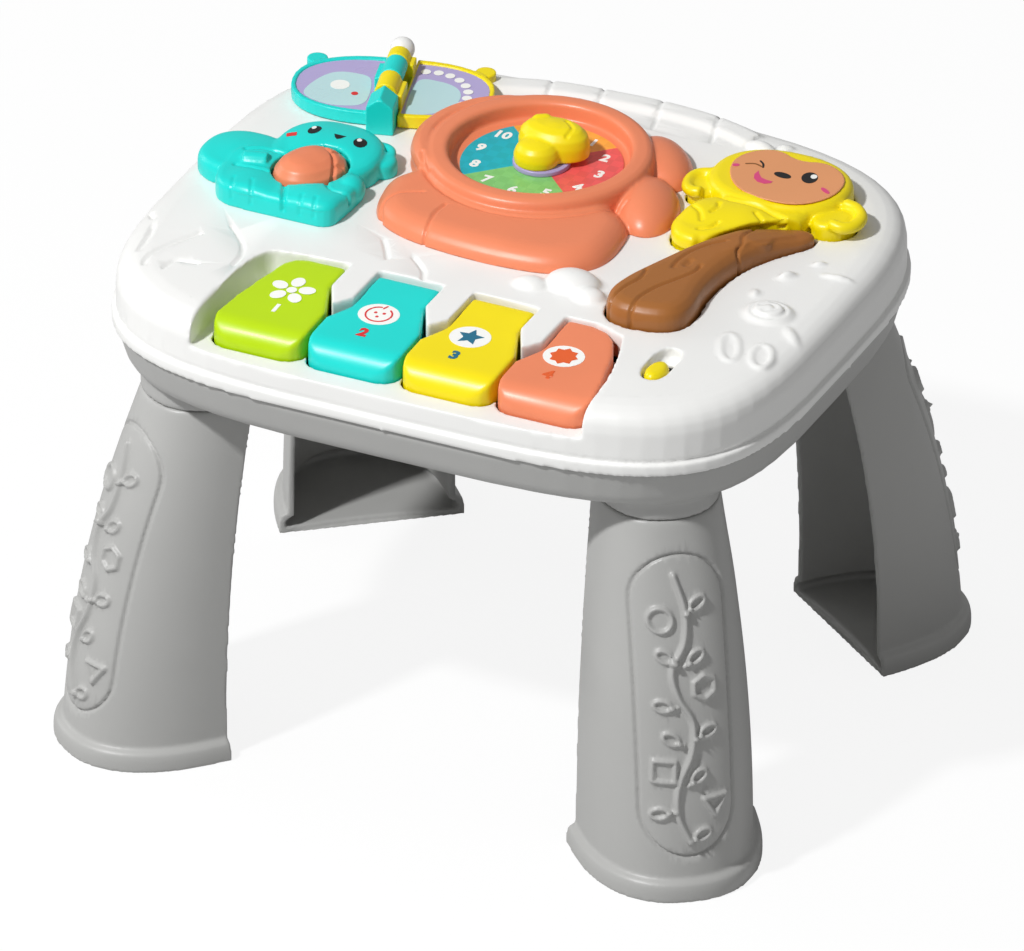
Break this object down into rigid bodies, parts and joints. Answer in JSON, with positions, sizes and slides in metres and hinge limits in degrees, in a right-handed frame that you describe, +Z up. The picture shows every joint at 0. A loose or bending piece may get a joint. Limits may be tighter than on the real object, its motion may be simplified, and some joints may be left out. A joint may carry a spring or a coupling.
{
  "type": "musical activity table",
  "caption": "Toddler play table with piano keys, a number dial, push buttons, a flip book and a power switch on four hollow legs.",
  "frame": {"origin": "on the floor under the middle of the table", "axes": "+X to the right along the keys, +Y from the keys to the back, +Z up"},
  "size_m": [0.344, 0.311, 0.2552],
  "materials": {
    "white_shell": "satin",
    "grey_shell": "satin",
    "coral": "satin",
    "teal": "satin",
    "lime": "satin",
    "yellow": "satin",
    "brown": "satin",
    "tan": "satin",
    "lilac": "satin",
    "printed_card": "gloss",
    "dark_plastic": "satin",
    "board": "satin",
    "silicone": "matte",
    "steel": "satin",
    "cell_wrap": "satin",
    "lead_skin": "satin"
  },
  "bodies": {
    "table": {"top_shell": "white_shell", "base_housing": "grey_shell", "front_left_leg": "grey_shell", "front_right_leg": "grey_shell", "back_right_leg": "grey_shell", "back_left_leg": "grey_shell", "key_frame": "dark_plastic", "key_pin": "steel", "key_contact_board": "board", "key_dome_strip": "silicone", "dial_surround": "coral", "dial_card": "printed_card", "dial_base_ring": "lilac", "dial_board": "board", "squirrel_body": "teal", "acorn_spring": "steel", "acorn_board": "board", "monkey_spring": "steel", "log_springs": "steel", "button_board": "board", "button_switches": "dark_plastic", "book_front_post": "teal", "book_pin": "steel", "switch_case": "dark_plastic", "circuit_board": "board", "speaker": "dark_plastic", "speaker_clamp": "steel", "battery_box": "grey_shell", "battery_cells": "cell_wrap", "battery_contacts": "steel", "battery_door": "grey_shell", "door_screw": "steel", "housing_screws": "steel", "board_screws": "steel", "trim_screws": "steel", "speaker_lead": "lead_skin", "battery_lead": "lead_skin"},
    "dial": {"dial_knob": "yellow", "dial_spindle": "white_shell", "dial_washer": "steel", "dial_wiper": "dark_plastic", "dial_spindle_screw": "steel"},
    "lime_key": {"lime_key": "lime"},
    "teal_key": {"teal_key": "teal"},
    "yellow_key": {"yellow_key": "yellow"},
    "coral_key": {"coral_key": "coral"},
    "acorn": {"acorn_button": "coral"},
    "monkey": {"monkey_button": "yellow", "monkey_face": "tan"},
    "log": {"log_button": "brown"},
    "left_page": {"left_page": "teal", "left_page_card": "printed_card"},
    "right_page": {"right_page": "yellow", "right_page_card": "printed_card"},
    "switch": {"switch_knob": "yellow"}
  },
  "joints": [
    {"name": "lime_key_press", "type": "hinge", "parent": "table", "child": "lime_key", "pos_m": [-0.0699, -0.048, 0.221], "axis": [1, 0, 0], "range_deg": [0, 3], "stiffness_Nm_per_rad": 0.6, "springref_deg": -2.86, "deforming": ["key_dome_strip"]},
    {"name": "teal_key_press", "type": "hinge", "parent": "table", "child": "teal_key", "pos_m": [-0.0233, -0.048, 0.221], "axis": [1, 0, 0], "range_deg": [0, 3], "stiffness_Nm_per_rad": 0.6, "springref_deg": -2.86, "deforming": ["key_dome_strip"]},
    {"name": "yellow_key_press", "type": "hinge", "parent": "table", "child": "yellow_key", "pos_m": [0.0233, -0.048, 0.221], "axis": [1, 0, 0], "range_deg": [0, 3], "stiffness_Nm_per_rad": 0.6, "springref_deg": -2.86, "deforming": ["key_dome_strip"]},
    {"name": "coral_key_press", "type": "hinge", "parent": "table", "child": "coral_key", "pos_m": [0.0699, -0.048, 0.221], "axis": [1, 0, 0], "range_deg": [0, 3], "stiffness_Nm_per_rad": 0.6, "springref_deg": -2.86, "deforming": ["key_dome_strip"]},
    {"name": "acorn_press", "type": "slide", "parent": "table", "child": "acorn", "axis": [0, 0, -1], "range_m": [0, 0.0025], "stiffness_N_per_m": 300, "springref_m": -0.004, "deforming": ["acorn_spring"]},
    {"name": "monkey_press", "type": "slide", "parent": "table", "child": "monkey", "axis": [0, 0, -1], "range_m": [0, 0.0025], "stiffness_N_per_m": 300, "springref_m": -0.004, "deforming": ["monkey_spring"]},
    {"name": "log_press", "type": "slide", "parent": "table", "child": "log", "axis": [0, 0, -1], "range_m": [0, 0.0025], "stiffness_N_per_m": 300, "springref_m": -0.004, "deforming": ["log_springs"]},
    {"name": "dial_turn", "type": "hinge", "parent": "table", "child": "dial", "pos_m": [-0.0107, 0.05, 0.238], "axis": [0, 0, 1], "continuous": true},
    {"name": "left_page_turn", "type": "hinge", "parent": "table", "child": "left_page", "pos_m": [-0.10192, 0.08535, 0.245], "axis": [-0.2588, 0.9659, 0], "range_deg": [0, 190]},
    {"name": "right_page_turn", "type": "hinge", "parent": "table", "child": "right_page", "pos_m": [-0.10192, 0.08535, 0.245], "axis": [-0.2588, 0.9659, 0], "range_deg": [-190, 0]},
    {"name": "power_slide", "type": "slide", "parent": "table", "child": "switch", "axis": [0, 1, 0], "range_m": [0, 0.01]}
  ]
}
